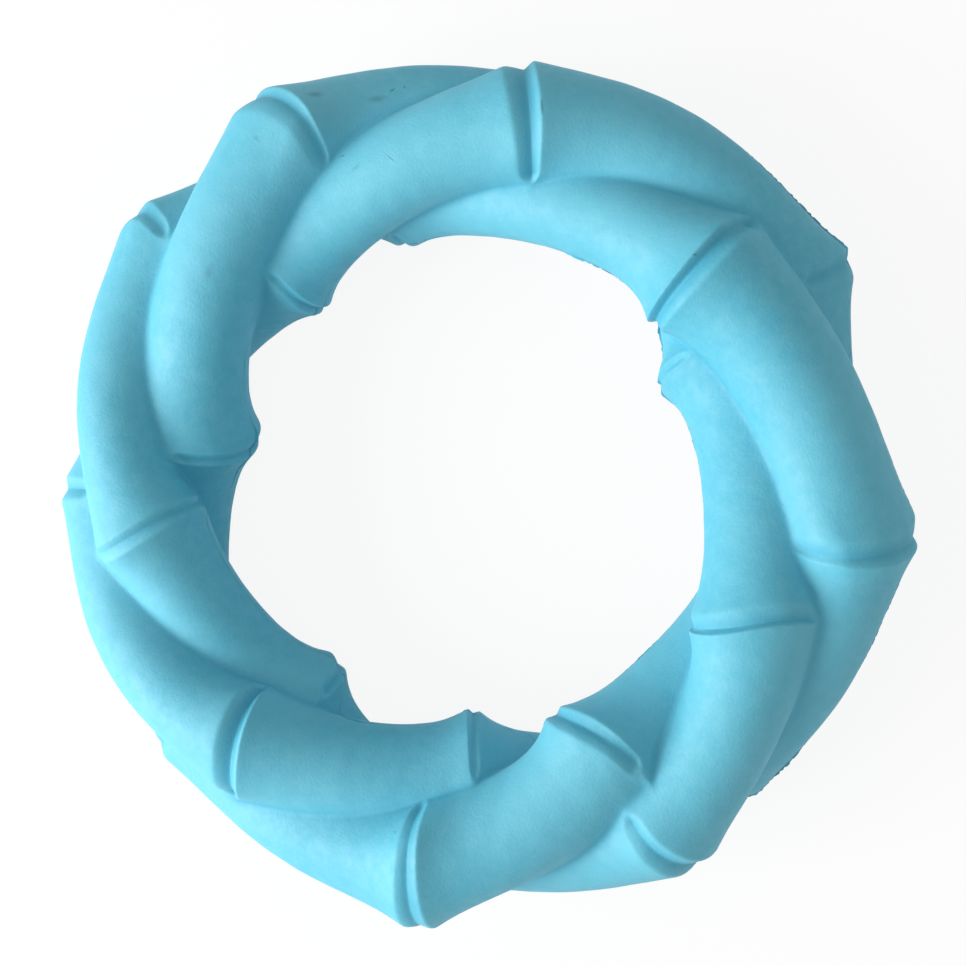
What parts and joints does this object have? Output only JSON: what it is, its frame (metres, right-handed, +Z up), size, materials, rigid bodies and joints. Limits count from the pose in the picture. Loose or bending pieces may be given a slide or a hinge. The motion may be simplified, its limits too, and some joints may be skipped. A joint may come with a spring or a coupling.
{
  "type": "rubber chew ring",
  "caption": "Dog chew ring of soft rubber, moulded as a jointed bamboo cane whose strands twist about each other round the ring.",
  "frame": {"origin": "middle of the ring's outside, on the surface that it rests on", "axes": "+Z up through the hole of the ring as it lies flat, +X and +Y across the ring, to the right and to the top of the picture"},
  "size_m": [0.1532, 0.1494, 0.0362],
  "materials": {
    "blue_rubber": "matt, moulded"
  },
  "bodies": {
    "root": {"cane_length_01": "blue_rubber", "cane_length_02": "blue_rubber", "cane_length_03": "blue_rubber", "cane_length_04": "blue_rubber", "cane_length_05": "blue_rubber", "cane_length_06": "blue_rubber", "cane_length_07": "blue_rubber", "cane_length_08": "blue_rubber", "cane_length_09": "blue_rubber", "cane_length_10": "blue_rubber", "cane_length_11": "blue_rubber", "cane_length_12": "blue_rubber", "cane_length_13": "blue_rubber", "cane_length_14": "blue_rubber", "cane_length_15": "blue_rubber", "cane_length_16": "blue_rubber", "cane_length_17": "blue_rubber", "cane_length_18": "blue_rubber", "cane_length_19": "blue_rubber", "cane_length_20": "blue_rubber", "cane_length_21": "blue_rubber", "cane_length_22": "blue_rubber", "cane_length_23": "blue_rubber", "cane_length_24": "blue_rubber"}
  },
  "joints": []
}
